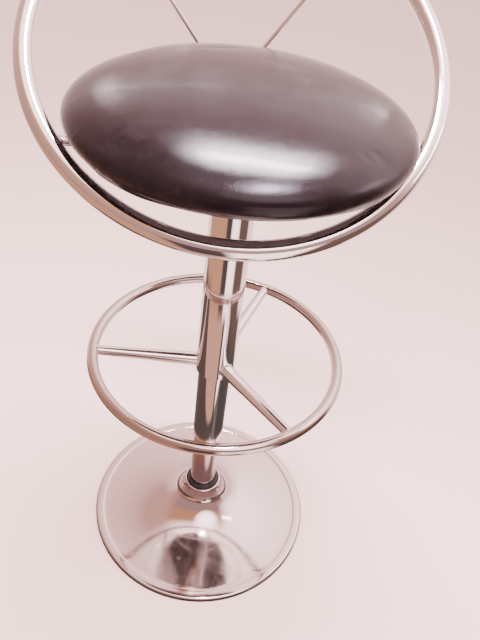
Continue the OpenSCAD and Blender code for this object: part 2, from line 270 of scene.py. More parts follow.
def chrome(name, haze, tint, scratch=1.0, pitting=0.6):
    finish = Finish(name)
    patches = finish.ramp(finish.noise(9, 4, 0.6, 0.4), (0.35, 0.0), (0.7, 1.0))
    wipe = finish.ramp(finish.noise(38, 5, 0.7, 1.2), (0.4, 0.0), (0.75, 1.0))
    hairs = finish.ramp(
        finish.noise(140, 2, 0.5, 0.0, finish.stretched((1, 1, 0.05), (0.2, 0.3, 0))),
        (0.63, 0.0), (0.7, 1.0))
    specks = finish.ramp(finish.cells(420), (0.0, 1.0), (0.09, 0.0))
    thin = finish.ramp(finish.noise(22), (0.55, 0.0), (0.62, 1.0))
    pits = specks * thin
    grime = haze * (0.35 + patches * 0.65) + wipe * (haze * 0.4 + 0.012)
    rough = 0.03 + grime + hairs * (0.05 * scratch)
    colour = finish.mix(patches * (haze * 1.2), tint, (0.60, 0.53, 0.50))
    colour = finish.mix(pits * pitting, colour, (0.20, 0.15, 0.12))
    relief = finish.bump(hairs * 0.3 - pits, 0.00004 * scratch, 0.5)
    return finish.look(Base_Color=colour, Metallic=1.0, Roughness=rough + pits * 0.3, Normal=relief)


tube_chrome = chrome("tube chrome", 0.05, (0.92, 0.88, 0.89))
column_chrome = chrome("column chrome", 0.04, (0.92, 0.87, 0.87))
rest_chrome = chrome("footrest chrome", 0.08, (0.60, 0.52, 0.50), 1.6, 0.8)
# The stand tube's dark tint is painted shade: it stands for the shaded base flare that the tube mirrors
stand_chrome_with_painted_shade = chrome("stand tube chrome with painted shade", 0.07, (0.46, 0.40, 0.41), 1.2, 0.8)
base_chrome = chrome("base chrome", 0.09, (0.72, 0.63, 0.63), 1.4)
weld_chrome = chrome("weld chrome", 0.10, (0.86, 0.82, 0.81), 1.0, 0.9)
print("chrome finishes made")

# %% [markdown]
# ## Vinyl
# The seat is covered with black upholstery vinyl. It has a fine embossed grain, a soft broad
# sheen from the plasticiser and a thin, sharper clear coat that dust dulls. Round the sides, where
# the sheet is pulled down over the board, fine upright wrinkles form. Their pattern takes the
# direction away from the axis as its coordinate, so it runs round the cushion with no seam.

# %% Vinyl finish


def seat_vinyl():
    finish = Finish("black vinyl")
    x, y, z = finish.parts()
    away = finish.from_axis(x, y)
    around = finish.node("ShaderNodeCombineXYZ", None, {
        0: x / away * seat_r, 1: y / away * seat_r, 2: z * 0.12})
    low_side = finish.ramp((z - seat_z) / (seat_top - seat_z), (0.02, 1.0), (0.5, 0.75), (0.72, 0.0))
    rim = finish.ramp(away / seat_r, (0.80, 0.0), (0.95, 1.0))
    pulls = finish.noise(150, 3, 0.55, 0.0, around) * low_side * rim
    grain = finish.cells(900)
    pores = finish.noise(1500, 2)
    waves = finish.noise(14, 2, 0.45)
    relief = finish.bump(waves, 0.0016, 0.25)
    relief = finish.bump(pulls, 0.0012, 0.3, relief)
    relief = finish.bump(grain * 0.7 + pores * 0.5, 0.00024, 0.6, relief)
    worn = finish.ramp(finish.noise(7, 5, 0.62, 0.3), (0.38, 0.0), (0.72, 1.0))
    dust = finish.ramp(finish.noise(60, 6, 0.75), (0.5, 0.0), (0.85, 1.0))
    colour = finish.mix(worn, (0.0035, 0.0022, 0.0030), (0.007, 0.0045, 0.0055))
    colour = finish.mix(dust * 0.15, colour, (0.045, 0.035, 0.036))
    rough = 0.10 + worn * 0.03 + dust * 0.05 + grain * 0.03
    return finish.look(
        Base_Color=colour, Roughness=rough, Specular_IOR_Level=0.19, Specular_Tint=(0.92, 0.88, 1.0),
        Normal=relief, Coat_Weight=0.08 - dust * 0.04, Coat_Roughness=0.10)


vinyl = seat_vinyl()
print("vinyl made")

# %% [markdown]
# ## Plainer finishes
# The small parts are moulded plastic, rubber, zinc-plated steel, painted steel, plywood and a
# black dust cloth. Flat colours would do at a distance, but from below they would look like
# clay. So each gets the marks that its making leaves: a moulded skin's fine texture, a rolled
# sheet's streaks, the plies of a board's edge, the pressed fibres of the cloth.

# %% Plainer finishes
PLY = 2.4 * MM


def plastic(name, colour, rough, grain=1400):
    finish = Finish(name)
    skin = finish.noise(grain, 3, 0.6)
    scuffs = finish.ramp(finish.noise(55, 4, 0.7, 0.6), (0.55, 0.0), (0.75, 1.0))
    shade = finish.mix(scuffs * 0.4, colour, tuple(c * 2.2 + 0.02 for c in colour))
    return finish.look(
        Base_Color=shade, Roughness=rough + scuffs * 0.18, Normal=finish.bump(skin, 0.00008, 0.5))


def plated_steel(name, colour):
    finish = Finish(name)
    streaks = finish.noise(260, 3, 0.6, 0.0, finish.stretched((1, 0.08, 1)))
    stain = finish.ramp(finish.noise(30, 4, 0.6), (0.5, 0.0), (0.8, 1.0))
    shade = finish.mix(stain * 0.5, colour, (0.34, 0.27, 0.20))
    return finish.look(
        Base_Color=shade, Metallic=1.0, Roughness=0.28 + streaks * 0.12 + stain * 0.2,
        Normal=finish.bump(streaks, 0.00006, 0.5))


def painted_steel(name, colour):
    finish = Finish(name)
    peel = finish.noise(420, 2, 0.5)
    chips = finish.ramp(finish.noise(90, 6, 0.8), (0.70, 0.0), (0.73, 1.0))
    shade = finish.mix(chips, colour, (0.33, 0.31, 0.30))
    return finish.look(
        Base_Color=shade, Metallic=chips, Roughness=0.42 + peel * 0.08,
        Normal=finish.bump(peel * 0.5 - chips, 0.00012, 0.6))


def plywood():
    finish = Finish("plywood")
    z = finish.parts()[2]
    plies = finish.maths("PINGPONG", z / PLY, 1.0)
    fibres = finish.noise(70, 4, 0.65, 0.2, finish.stretched((1, 0.05, 1)))
    shade = finish.mix(fibres, (0.50, 0.33, 0.18), (0.68, 0.50, 0.31))
    shade = finish.mix(finish.ramp(plies, (0.45, 0.0), (0.55, 0.45)), shade, (0.30, 0.18, 0.10))
    return finish.look(Base_Color=shade, Roughness=0.7, Normal=finish.bump(fibres, 0.0003, 0.5))


def dust_cloth():
    finish = Finish("dust cloth")
    fibres = finish.noise(700, 5, 0.75, 1.5)
    dimples = finish.cells(330)
    shade = finish.mix(fibres, (0.012, 0.012, 0.013), (0.05, 0.05, 0.052))
    return finish.look(
        Base_Color=shade, Roughness=0.92, Normal=finish.bump(fibres * 0.6 + dimples, 0.0002, 0.7))


collar_plastic = plastic("collar plastic", (0.010, 0.010, 0.011), 0.32)
grip_plastic = plastic("grip plastic", (0.014, 0.014, 0.015), 0.45)
black_rubber = plastic("black rubber", (0.016, 0.016, 0.016), 0.72, 700)
bare_steel = plated_steel("plated steel", (0.60, 0.59, 0.57))
dark_steel = painted_steel("painted steel", (0.020, 0.020, 0.022))
foam_core = plastic("foam", (0.62, 0.52, 0.30), 0.9, 500)
board_wood = plywood()
black_cloth = dust_cloth()
print("plainer finishes made")

# %% [markdown]
# ## The lathe
# Nearly every piece of this stool is turned or bent round an axis, so one helper does most of
# the modelling. A stack of cylinders could be used, but their joints would show in a mirror
# finish. Here a plane is merged to one point, which is extruded along the outline and spun
# through a full turn. Merging the doubled points closes the seam and the poles. A sharp outline
# is rounded first. Each long straight side also gets a point close to both of its ends, because
# the shading of a mirror-like wall would otherwise bend along it.

# %% Lathe helpers
SPIN_STEPS = 160
CLOSE = 0.00001


def start_alone():
    """Leaves edit mode and deselects everything, so that an operator acts on new things only."""
    if bpy.context.mode != "OBJECT":
        bpy.ops.object.mode_set(mode="OBJECT")
    bpy.ops.object.select_all(action="DESELECT")


def close_and_face_out(piece):
    """Merges doubled points, turns the faces outwards and shades curves smooth."""
    if bpy.context.mode == "OBJECT":
        bpy.ops.object.mode_set(mode="EDIT")
    bpy.ops.mesh.select_all(action="SELECT")
    bpy.ops.mesh.remove_doubles(threshold=CLOSE)
    bpy.ops.mesh.normals_make_consistent(inside=False)
    bpy.ops.object.mode_set(mode="OBJECT")
    bpy.ops.object.shade_smooth_by_angle(angle=math.radians(40))
    return piece


def softened(corners, radius, cuts=4):
    """A closed outline with each corner rounded, and support points by the rounding."""
    soft = []
    for before, here, after in zip(corners[-1:] + corners[:-1], corners, corners[1:] + corners[:1]):
        here = Vector(here)
        to_before, to_after = (Vector(before) - here), (Vector(after) - here)
        room = min(radius, to_before.length * 0.3, to_after.length * 0.3)
        first, last = here + to_before.normalized() * room, here + to_after.normalized() * room
        soft.append(here + to_before.normalized() * room * 1.6)
        for i in range(cuts + 1):
            t = i / cuts
            soft.append(first * (1 - t) ** 2 + here * 2 * t * (1 - t) + last * t ** 2)
        soft.append(here + to_after.normalized() * room * 1.6)
    return [tuple(point) for point in soft]


def lathe(name, outline, steps=SPIN_STEPS):
    """Turns an outline of (radius, height) points about the upright axis."""
    start_alone()
    bpy.ops.mesh.primitive_plane_add(size=MM, location=(0, 0, 0))
    piece = bpy.context.object
    piece.name = piece.data.name = name
    bpy.ops.object.mode_set(mode="EDIT")
    bpy.ops.mesh.merge(type="CENTER")
    at = (0, 0)
    for index, (radius, height) in enumerate(outline):
        step = (radius - at[0], 0, height - at[1])
        if index == 0:
            bpy.ops.transform.translate(value=step)
        else:
            bpy.ops.mesh.extrude_vertices_move(TRANSFORM_OT_translate={"value": step})
        at = (radius, height)
    bpy.ops.mesh.select_all(action="SELECT")
    bpy.ops.mesh.spin(steps=steps, angle=math.tau, center=(0, 0, 0), axis=(0, 0, 1))
    return close_and_face_out(piece)


def settle(piece, finish, body, slot, *nodes):
    """Gives a finished piece its material, body, slot and the nodes that it stands for."""
    piece.data.materials.clear()
    piece.data.materials.append(finish)
    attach(piece, body)
    if nodes:
        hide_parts(*nodes)
    print(piece.name, "rides on", body, len(piece.data.polygons), "faces")
    return piece


print("lathe ready")

# %% [markdown]
# ## Base
# The base is one pressed and spun steel sheet: a rounded rim, a flat band, a small step, then
# a flare that sweeps up into the neck and ends in a rolled lip. A Solidify modifier could give
# the sheet its thickness, but the lip has to close round the edge. So the outline goes along
# the outside, round the lip, and back along the inside at the sheet's thickness. The flare is
# one smooth curve, because the base mirrors the seat and any kink would break that picture.

# %% Base shell
SHEET = 1.5 * MM
rim_top = 9 * MM
rim_round = 4 * MM
band_in = base_r - 15 * MM
neck_r, neck_z, lip_bead = 31 * MM, 85 * MM, 2.2 * MM


def bezier(a, b, c, d, t):
    a, b, c, d = (Vector(p) for p in (a, b, c, d))
    return a * (1 - t) ** 3 + b * 3 * t * (1 - t) ** 2 + c * 3 * t * t * (1 - t) + d * t ** 3


def set_in(path, wall):
    """The same path moved to its left by a wall's thickness."""
    moved = []
    for i, point in enumerate(path):
        along = (Vector(path[min(i + 1, len(path) - 1)]) - Vector(path[max(i - 1, 0)])).normalized()
        moved.append((point[0] - along.y * wall, point[1] + along.x * wall))
    return moved


rim_path = [(base_r, sheet_z)] + [
    (base_r - rim_round + rim_round * math.cos(a), rim_top - rim_round + rim_round * math.sin(a))
    for a in (math.radians(15 * i) for i in range(7))]
step_path = [
    (band_in + 2.0 * MM, rim_top), (band_in + 1.0 * MM, rim_top - 0.1 * MM),
    (band_in + 0.3 * MM, rim_top - 0.45 * MM), (band_in - 0.4 * MM, rim_top - 0.85 * MM)]
flare_ends = (band_in - 1.0 * MM, rim_top - 0.9 * MM), (neck_r, neck_z - 1.5 * MM)
flare_pulls = (base_r * 0.25, rim_top + 4 * MM), (neck_r + 0.5 * MM, neck_z * 0.61)
flare_path = [
    tuple(bezier(flare_ends[0], *flare_pulls, flare_ends[1], i / 56)) for i in range(57)]
shell_path = rim_path + step_path + flare_path
lip_path = [
    (neck_r - 0.2 * MM + lip_bead * math.cos(a), neck_z + lip_bead * math.sin(a))
    for a in (math.radians(-50 + 25 * i) for i in range(11))]
inside_path = set_in(shell_path, SHEET)[::-1]
base_shell = lathe("base_shell", shell_path + lip_path + inside_path + shell_path[:1], 192)
settle(base_shell, base_chrome, "base", "chrome", "base_cover")

# %% [markdown]
# ## Column
# The column shows three tubes, one inside the other, and a collar where the thinnest leaves
# the base. Tubes are cut, deburred and polished, so their ends have small round edges that
# catch the light. A Bevel modifier would do this, but the lathe already draws the outline, so
# the rounding is in the outline. The collar is a plastic bush with a step that makes two dark
# rings.

# %% Column tubes
# The middle sleeve's box counts a wider lip, which stays out of sight in the upper sleeve
MID_SLEEVE_R = 25.4 * MM
# The stand tube takes the chrome whose darker tint is painted shade
tube_shapes = (
    ("stand_tube", radius_of("stand_tube"), 1.5 * MM, 0.4 * MM, stand_chrome_with_painted_shade, "base"),
    ("mid_sleeve", MID_SLEEVE_R, 1.2 * MM, 0.4 * MM, column_chrome, "mid_cover"),
    ("upper_sleeve", sleeve_r, 1.5 * MM, 0.6 * MM, column_chrome, "carriage"))
for node, outer, wall, edge, finish, body in tube_shapes:
    low, high = heights_of(node)
    corners = [(outer, low), (outer, high), (outer - wall, high), (outer - wall, low)]
    outline = softened(corners, edge)
    settle(lathe(node + "_skin", outline + outline[:1]), finish, body, "chrome", node)

bush_low, bush_high = heights_of("collar_bush")
bush_r, stand_r = radius_of("collar_bush"), radius_of("stand_tube")
bush_step, step_in = bush_high - 4 * MM, 2 * MM
bore_r = stand_r + 0.05 * MM
bush_corners = [
    (bush_r, bush_low), (bush_r, bush_step), (bush_r - step_in, bush_step),
    (bush_r - step_in, bush_high), (bore_r, bush_high), (bore_r, bush_low)]
bush_outline = softened(bush_corners, 0.7 * MM)
collar = lathe("collar_ring", bush_outline + bush_outline[:1])
settle(collar, collar_plastic, "base", "black_plastic", "collar_bush")

# %% [markdown]
# ## Bent rings
# The footrest and the arm hoop are tubes bent to a ring. A torus would do, but a circle that
# stands upright at the ring's radius and is spun round the axis works as the lathe does, and
# its steps are chosen freely. The hoop is then tipped about X and lifted to its place in edit
# mode, so its object stays at the origin.

# %% Ring helper and rings
TUBE_SIDES, RING_STEPS = 40, 192


def bent_ring(name, ring, tube, tilt, centre):
    start_alone()
    bpy.ops.mesh.primitive_circle_add(
        vertices=TUBE_SIDES, radius=tube, location=(ring, 0, 0), rotation=(math.pi / 2, 0, 0))
    piece = bpy.context.object
    piece.name = piece.data.name = name
    bpy.ops.object.transform_apply(location=True, rotation=True, scale=True)
    bpy.ops.object.mode_set(mode="EDIT")
    bpy.ops.mesh.select_all(action="SELECT")
    bpy.ops.mesh.spin(steps=RING_STEPS, angle=math.tau, center=(0, 0, 0), axis=(0, 0, 1))
    bpy.ops.mesh.select_all(action="SELECT")
    bpy.ops.transform.rotate(
        value=-tilt, orient_axis="X", orient_type="GLOBAL", center_override=(0, 0, 0))
    bpy.ops.transform.translate(value=centre)
    return close_and_face_out(piece)


footrest = bent_ring("footrest_tube", rest_ring, rest_tube, 0, (0, 0, rest_z))
settle(footrest, rest_chrome, "carriage", "chrome", "footrest_ring")
hoop = bent_ring("hoop_tube", hoop_ring, hoop_tube, hoop_tilt, hoop_centre)
settle(hoop, tube_chrome, "carriage", "chrome", "arm_hoop")
hoop_y = [v.co.y for v in hoop.data.vertices if v.co.z > hoop_centre.z + 0.1]
print("hoop's high side is at the back:", sum(hoop_y) / len(hoop_y) > hoop_centre.y)

# %% [markdown]
# ## Welds
# The spokes, bars and rods are welded on, and each weld is a small rippled bead that follows
# the line where two round skins meet. A boolean cut would give that line too, but with uneven
# points. So it is found by walking along the rod's skin until the distance to the other piece
# changes sign. A torus then has its rings set along the line.

# %% Weld helpers
WELD_STEPS, WELD_SIDES = 56, 8
WELD_RIPPLE = 0.10


def from_column(point):
    return math.hypot(point.x, point.y) - sleeve_r


def from_footrest(point):
    return math.hypot(math.hypot(point.x, point.y) - rest_ring, point.z - rest_z) - rest_tube


def from_hoop(point):
    local = Matrix.Rotation(-hoop_tilt, 3, "X") @ (point - hoop_centre)
    return math.hypot(math.hypot(local.x, local.y) - hoop_ring, local.z) - hoop_tube


def seam_line(start, end, radius_start, radius_end, distance):
    """Points round a tapered rod where its skin meets a piece, by halving between the ends."""
    along = end - start
    side = along.orthogonal().normalized()
    other = along.normalized().cross(side)
    line = []
    for i in range(WELD_STEPS):
        turn = math.tau * i / WELD_STEPS
        away = math.cos(turn) * side + math.sin(turn) * other

        def on_skin(t):
            return start + along * t + away * (radius_start * (1 - t) + radius_end * t)

        low, high = 0.0, 1.0
        sign = distance(on_skin(low)) > 0
        for _ in range(40):
            middle = (low + high) / 2
            if (distance(on_skin(middle)) > 0) == sign:
                low = middle
            else:
                high = middle
        line.append(on_skin(low))
    return line


def weld(name, line, size):
    """A rippled bead of a given radius that follows a closed line."""
    start_alone()
    bpy.ops.mesh.primitive_torus_add(
        major_segments=len(line), minor_segments=WELD_SIDES, major_radius=0.01, minor_radius=0.002)
    piece = bpy.context.object
    piece.name = piece.data.name = name
    centre = sum(line, Vector()) / len(line)
    for i, point in enumerate(line):
        along = (line[(i + 1) % len(line)] - line[i - 1]).normalized()
        out = (point - centre) - along * (point - centre).dot(along)
        out.normalize()
        side = along.cross(out)
        swell = size * (1 + WELD_RIPPLE * math.sin(i * 2.4))
        for j in range(WELD_SIDES):
            turn = math.tau * j / WELD_SIDES
            piece.data.vertices[i * WELD_SIDES + j].co = point + swell * (
                math.cos(turn) * out + math.sin(turn) * side)
    close_and_face_out(piece)
    return settle(piece, weld_chrome, "carriage", "chrome")


print("weld helpers ready")

# %% [markdown]
# ## Spoke, bar and rod welds
# Three tapered spokes join the upper sleeve to the footrest ring. Two bars under the seat and
# two straight rods behind it hold the hoop. All seven end in a weld at the ring or hoop, and
# the spokes have a bigger one at the sleeve as well. The beads could be one shape copied ten
# times, but each joint meets at its own angle, so each line is worked out from its own rod.

# %% Welds in place
SPOKE_ROOT, SPOKE_TIP, SPOKE_RISE = 10.8 * MM, 7 * MM, 15 * MM
SPOKE_SUNK, BAR_START = 2 * MM, 0.15
ROD_R, ROD_TURN = 3 * MM, math.radians(38.6)
ROD_FOOT_APART, ROD_FOOT_IN, ROD_FOOT_DROP = 5 * MM, 4 * MM, 19 * MM
for spoke, turn in (("left", 180), ("rear", 60), ("front", -60)):
    facing = Vector((math.cos(math.radians(turn)), math.sin(math.radians(turn)), 0))
    root = facing * (sleeve_r - SPOKE_SUNK) + Vector((0, 0, rest_z - SPOKE_RISE))
    tip = facing * rest_ring + Vector((0, 0, rest_z))
    middle = (root + tip) / 2
    middle_r = (SPOKE_ROOT + SPOKE_TIP) / 2
    inner = root - (tip - root) * 0.03
    inner_seam = seam_line(inner, middle, SPOKE_ROOT, middle_r, from_column)
    outer_seam = seam_line(middle, tip, middle_r, SPOKE_TIP, from_footrest)
    weld(f"spoke_weld_{spoke}_in", inner_seam, 1.5 * MM)
    weld(f"spoke_weld_{spoke}_out", outer_seam, 1.0 * MM)

for side, sign in (("left", -1), ("right", 1)):
    bar_low, bar_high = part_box(f"side_bar_{side}")
    bar_y, bar_z = (bar_low.y + bar_high.y) / 2, (bar_low.z + bar_high.z) / 2
    bar_r = (bar_high.z - bar_low.z) / 2
    reach = math.sqrt(hoop_ring ** 2 - ((bar_z - hoop_centre.z) / math.sin(hoop_tilt)) ** 2)
    bar_in, bar_out = (Vector((sign * x, bar_y, bar_z)) for x in (BAR_START, reach))
    weld(f"side_bar_weld_{side}", seam_line(bar_in, bar_out, bar_r, bar_r, from_hoop), 1.2 * MM)

    turn = ROD_TURN * sign
    rod_top = hoop_centre + hoop_ring * Vector((
        math.sin(turn), math.cos(hoop_tilt) * math.cos(turn), math.sin(hoop_tilt) * math.cos(turn)))
    rod_foot = Vector((sign * ROD_FOOT_APART, seat_r - ROD_FOOT_IN, seat_z - ROD_FOOT_DROP))
    rod_half = (rod_foot + rod_top) / 2
    weld(f"back_rod_weld_{side}", seam_line(rod_half, rod_top, ROD_R, ROD_R, from_hoop), 0.8 * MM)

# %% [markdown]
# ## Cushion
# The cushion is foam on a round board under a vinyl sheet that is pulled down and stapled
# beneath. It is a crowned disc whose rounded side rolls in under the board. The lathe could
# turn it, but the pole would show as a pinch in the gloss. A subdivided cube pushed to a sphere
# gives even faces with no poles. Its points are then laid on the cushion's outline, a little
# low and a little wide, and a cloth simulation with pressure inside fills it out against the
# fixed underside.

# %% Cushion blank
CUSHION_CUTS = 38
START_LOW, START_WIDE = 2.4 * MM, 0.4 * MM
DOME_POWER = 2.1
EDGE_IN, EDGE_SHARE = 30 * MM, 0.5
recess_r, recess_z = 163 * MM, seat_z + 2.6 * MM


def on_cushion(point):
    """Lays a point of the unit sphere on the cushion's outline."""
    flat = math.hypot(point.x, point.y)
    rise = math.atan2(point.z, flat)
    if point.z >= 0:
        crown = seat_top - belly_z - START_LOW
        height = belly_z + crown * max(0, math.sin(rise)) ** (2 / DOME_POWER)
        radius = (seat_r + START_WIDE) * math.cos(rise) ** (2 / DOME_POWER)
    else:
        share = -rise / (math.pi / 2)
        turn = min(share / EDGE_SHARE, 1) * math.pi / 2
        radius = seat_r + START_WIDE - EDGE_IN * (1 - math.cos(turn))
        radius *= min(1, (1 - share) / (1 - EDGE_SHARE))
        height = belly_z - (belly_z - seat_z) * math.sin(turn)
        if radius < recess_r:
            height = recess_z
    if flat < 1e-9:
        return Vector((0, 0, height))
    return Vector((point.x / flat * radius, point.y / flat * radius, height))


start_alone()
bpy.ops.mesh.primitive_cube_add(size=2, location=(0, 0, 0))
cushion = bpy.context.object
cushion.name = cushion.data.name = "cushion"
bpy.ops.object.mode_set(mode="EDIT")
bpy.ops.mesh.select_all(action="SELECT")
bpy.ops.mesh.subdivide(number_cuts=CUSHION_CUTS)
bpy.ops.transform.tosphere(value=1)
bpy.ops.object.mode_set(mode="OBJECT")
for vertex in cushion.data.vertices:
    vertex.co = on_cushion(vertex.co.normalized())
rest_places = [vertex.co.copy() for vertex in cushion.data.vertices]
print("cushion blank", len(cushion.data.vertices), "points")

# %% [markdown]
# ## Filling the cushion
# The points on the underside are pinned, because the board holds them. Pressure swells the
# rest, and the sheet's own stiffness spreads the tension. No point may move further than a
# cap, so the cushion keeps its size.

# %% Cushion simulation
SWELL_CAP = 1.7 * MM
FILL_FRAMES = 20
pinned = cushion.vertex_groups.new(name="board")
pinned.add([v.index for v in cushion.data.vertices if v.co.z < seat_z + 3 * MM], 1.0, "REPLACE")
start_alone()
cushion.select_set(True)
bpy.context.view_layer.objects.active = cushion
cloth = cushion.modifiers.new("fill", "CLOTH")
cloth.settings.vertex_group_mass = "board"
cloth.settings.use_pressure = True
cloth.settings.uniform_pressure_force = 4
cloth.settings.quality = 6
cloth.settings.tension_stiffness = cloth.settings.compression_stiffness = 25
cloth.settings.bending_stiffness = 2
cloth.settings.effector_weights.gravity = 0
cloth.point_cache.frame_start, cloth.point_cache.frame_end = 1, FILL_FRAMES
for number in range(1, FILL_FRAMES + 1):
    bpy.context.scene.frame_set(number)
bpy.ops.object.modifier_apply(modifier="fill")
bpy.context.scene.frame_set(1)
swelled = 0
for vertex, start in zip(cushion.data.vertices, rest_places):
    move = vertex.co - start
    if move.length > SWELL_CAP:
        vertex.co = start + move * (SWELL_CAP / move.length)
    swelled = max(swelled, (vertex.co - start).length)
cushion.vertex_groups.clear()
print("cushion swelled by up to", round(swelled * 1000, 1), "mm")

# %% [markdown]
# ## Cushion details
# One level of subdivision rounds the mesh. The dimples where the foam has packed down and the
# upright pulls round the side are then pressed into the real shape. A bump texture would be
# quicker, but a highlight on gloss vinyl follows the shape, and so does the outline.

# %% Cushion dimples and pulls
start_alone()
cushion.select_set(True)
bpy.context.view_layer.objects.active = cushion
rounding = cushion.modifiers.new("rounding", "SUBSURF")
rounding.levels = rounding.render_levels = 1
bpy.ops.object.modifier_apply(modifier="rounding")

# Each dimple: radius, bearing, half-width along and across its crease, depth in millimetres
dimples = (
    (98, 161, 24, 11, 0.5), (82, 56, 26, 12, 0.4),
    (120, 100, 30, 10, 0.5), (176, 140, 22, 6, 0.8), (60, -40, 40, 24, 0.5))
# Each pull: bearing and half-width in radians, depth in millimetres
rng = random.Random(41)
pulls = [
    (rng.uniform(0, math.tau), rng.uniform(0.006, 0.016), rng.uniform(0.05, 0.30))
    for _ in range(120)]
PULL_Z, PULL_HALF, PULL_FROM = seat_z + 13 * MM, 22 * MM, 0.9 * seat_r
for vertex in cushion.data.vertices:
    x, y, z = vertex.co
    radius, bearing = math.hypot(x, y), math.atan2(y, x)
    press = 0.0
    if z > belly_z:
        for at_r, at_turn, along, across, depth in dimples:
            turn = math.radians(at_turn)
            dx, dy = x - at_r * MM * math.cos(turn), y - at_r * MM * math.sin(turn)
            u = (dx * math.cos(turn) + dy * math.sin(turn)) / (across * MM)
            v = (dy * math.cos(turn) - dx * math.sin(turn)) / (along * MM)
            if abs(u) < 3 and abs(v) < 3:
                press += depth * MM * math.exp(-u * u - v * v)
    side = max(0.0, 1 - abs(z - PULL_Z) / PULL_HALF) if radius > PULL_FROM else 0.0
    pull = 0.0
    if side > 0 and z > seat_z + 1 * MM:
        for turn, width, depth in pulls:
            gap = (bearing - turn + math.pi) % math.tau - math.pi
            if abs(gap) < 3 * width:
                pull += depth * MM * math.exp(-(gap / width) ** 2)
    vertex.co.z -= press
    if radius > 0:
        shrink = 1 - side * side * pull / radius
        vertex.co.x, vertex.co.y = x * shrink, y * shrink
bpy.ops.object.mode_set(mode="EDIT")
close_and_face_out(cushion)
for face in cushion.data.polygons:
    face.use_smooth = True
settle(cushion, vinyl, "carriage", "vinyl", "seat_cover", "seat_foam")

# %% [markdown]
# ## Underside of the cushion
# Under the seat the sheet is gathered into pleats and stapled to the board before the dust
# cloth goes on. Cloth folds could be simulated, but they are under a millimetre deep. So the
# pleats are one thin ring, turned on the lathe with many steps and pulled down in an uneven
# wave. The staples are one small bar with soft edges, copied round the ring.

# %% Pleats and staples
PLEATS, STAPLES = 72, 36
fold_r = radius_of("dust_cover")
PLEAT_REACH, PLEAT_DEPTH = 22 * MM, 0.9 * MM
pleat_in, pleat_out, pleat_top = fold_r - 4 * MM, fold_r + PLEAT_REACH, seat_z + 1.2 * MM
pleat_outline = softened([
    (pleat_in, seat_z - 0.2 * MM), (pleat_out, seat_z + 0.4 * MM),
    (pleat_out, pleat_top), (pleat_in, pleat_top)], 0.3 * MM, 2)
pleat_ring = lathe("cover_pleats", pleat_outline + pleat_outline[:1], PLEATS * 4)
for vertex in pleat_ring.data.vertices:
    bearing = math.atan2(vertex.co.y, vertex.co.x)
    reach = (math.hypot(vertex.co.x, vertex.co.y) - fold_r) / PLEAT_REACH
    if vertex.co.z < seat_z + 0.8 * MM:
        wave = math.sin(bearing * PLEATS + 0.9 * math.sin(bearing * 7))
        vertex.co.z -= PLEAT_DEPTH * max(0.0, wave) ** 3 * max(0.0, 1 - reach)
settle(pleat_ring, vinyl, "carriage", "vinyl")


def copied(source, name, turn):
    """A copy with its own mesh, turned about the upright axis."""
    copy = source.copy()
    copy.data = source.data.copy()
    copy.name = copy.data.name = name
    copy.data.transform(Matrix.Rotation(turn, 4, "Z"))
    bpy.context.scene.collection.objects.link(copy)
    return copy


start_alone()
bpy.ops.mesh.primitive_cube_add(size=1, location=(fold_r + 6 * MM, 0, seat_z - 0.35 * MM))
staple = bpy.context.object
bpy.ops.transform.resize(value=(0.9 * MM, 10 * MM, 0.6 * MM))
bpy.ops.object.transform_apply(location=True, rotation=True, scale=True)
bpy.ops.object.mode_set(mode="EDIT")
bpy.ops.mesh.select_all(action="SELECT")
bpy.ops.mesh.bevel(offset=0.2 * MM, segments=2, affect="EDGES")
bpy.ops.object.mode_set(mode="OBJECT")
staples = [staple] + [
    copied(staple, "staple", math.tau * i / STAPLES) for i in range(1, STAPLES)]
start_alone()
for one in staples:
    one.select_set(True)
bpy.context.view_layer.objects.active = staple
bpy.ops.object.join()
staple.name = staple.data.name = "cover_staples"
settle(close_and_face_out(staple), bare_steel, "carriage", "bare_steel")

# %% [markdown]
# ## Lever grip
# The lever's grip is a moulded sleeve with shallow rings for the fingers and a round nose. It
# is turned on the lathe like the column's tubes, then tipped onto the lever's line. That line
# comes from the joint, whose pivot and axis are in the frame, so the grip can't miss its rod.

# %% Lever grip
lever = next(j for j in frame["joints"] if j["name"] == "lever_lift")
pivot = Vector(lever["pos_m"])
lever_turn = math.atan2(lever["axis"][0], -lever["axis"][1])
LEVER_DROP, LEVER_REACH, PIVOT_OUT = math.radians(8), 182 * MM, 26 * MM
grip_end, grip_len, grip_r, rod_r = LEVER_REACH - PIVOT_OUT, 60 * MM, 6.5 * MM, 4 * MM
grip_start = grip_end - grip_len
GRIP_RINGS, RING_DEPTH, RINGED_LEN, NOSE = 5, 0.35 * MM, 50 * MM, 5 * MM
grip_outline = [
    (rod_r - 0.3 * MM, grip_start), (grip_r - 1.4 * MM, grip_start),
    (grip_r - 0.9 * MM, grip_start + 0.3 * MM), (grip_r - 0.7 * MM, grip_start + 1 * MM)]
for i in range(41):
    along = i / 40
    wave = math.cos(math.tau * GRIP_RINGS * along) if 0.1 < along < 0.9 else 1
    grip_outline.append(
        (grip_r - 0.5 * MM + RING_DEPTH * wave, grip_start + 2 * MM + along * RINGED_LEN))
grip_outline += [
    (max(0.0, (grip_r - 0.2 * MM) * math.cos(a)), grip_end - NOSE + NOSE * math.sin(a))
    for a in (math.radians(15 * i) for i in range(1, 7))]
grip = lathe("grip_sleeve", grip_outline, 48)
grip.data.transform(
    Matrix.Translation(pivot) @ Matrix.Rotation(lever_turn, 4, "Z")
    @ Matrix.Rotation(math.radians(90) + LEVER_DROP, 4, "Y"))
settle(grip, grip_plastic, "lever", "black_plastic", "lever_grip")

# %% [markdown]
# ## Finishes for the carried-over pieces
# The other nodes already have their true shape, so they only need a finish. They could be made
# again like the pieces above, but most are hidden, and their shapes would come out the same. A
# loaded node keeps its mesh, and its material slot takes the new material.

